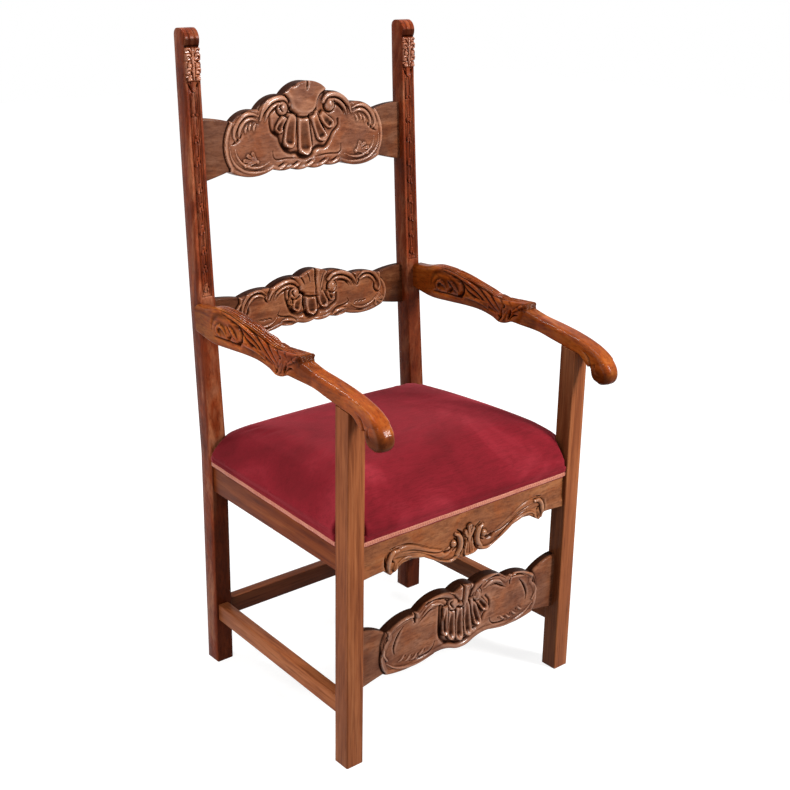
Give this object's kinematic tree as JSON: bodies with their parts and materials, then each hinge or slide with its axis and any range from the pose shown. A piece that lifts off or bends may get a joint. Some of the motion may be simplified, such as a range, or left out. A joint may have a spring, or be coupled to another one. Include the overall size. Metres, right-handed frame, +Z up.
{
  "type": "throne chair",
  "caption": "High-backed wooden armchair with carved shell back rails, leaf-carved arms, square legs, stretchers and a domed velvet seat edged with braid.",
  "frame": {"origin": "on the floor, under the middle of the chair's overall box", "axes": "+X to the viewer's right when facing the chair, +Y towards the back, +Z up"},
  "size_m": [0.5762, 0.62, 1.256],
  "materials": {
    "carved_wood": "aged walnut-brown varnish, glossy on the high places",
    "leg_wood": "red-brown varnish, semi-gloss, straight grain",
    "rail_wood": "red-brown varnish, semi-gloss",
    "arm_wood": "amber-brown varnish, high gloss",
    "block_wood": "plain unvarnished hardwood",
    "screw_steel": "plain steel screws",
    "tack_steel": "blued steel tacks",
    "webbing": "coarse jute webbing",
    "base_cloth": "plain hessian",
    "stuffing": "fibre stuffing, matt",
    "velvet": "crimson cotton velvet with a soft nap",
    "braid": "rose-gold woven braid"
  },
  "bodies": {
    "root": {"left_rear_post": "carved_wood", "right_rear_post": "carved_wood", "left_front_leg": "leg_wood", "right_front_leg": "leg_wood", "left_side_rail": "rail_wood", "right_side_rail": "rail_wood", "front_seat_rail": "rail_wood", "rear_seat_rail": "rail_wood", "left_side_stretcher": "rail_wood", "right_side_stretcher": "rail_wood", "rear_stretcher": "rail_wood", "front_stretcher_board": "carved_wood", "crest_rail": "carved_wood", "lower_back_rail": "carved_wood", "left_arm": "arm_wood", "right_arm": "arm_wood", "left_front_corner_block": "block_wood", "right_front_corner_block": "block_wood", "left_rear_corner_block": "block_wood", "right_rear_corner_block": "block_wood", "corner_block_screws": "screw_steel", "lengthwise_webbing": "webbing", "crosswise_webbing": "webbing", "webbing_tacks": "tack_steel", "seat_base_cloth": "base_cloth", "seat_stuffing": "stuffing", "velvet_cover": "velvet", "front_braid": "braid", "right_braid": "braid", "rear_braid": "braid", "left_braid": "braid"}
  },
  "joints": []
}
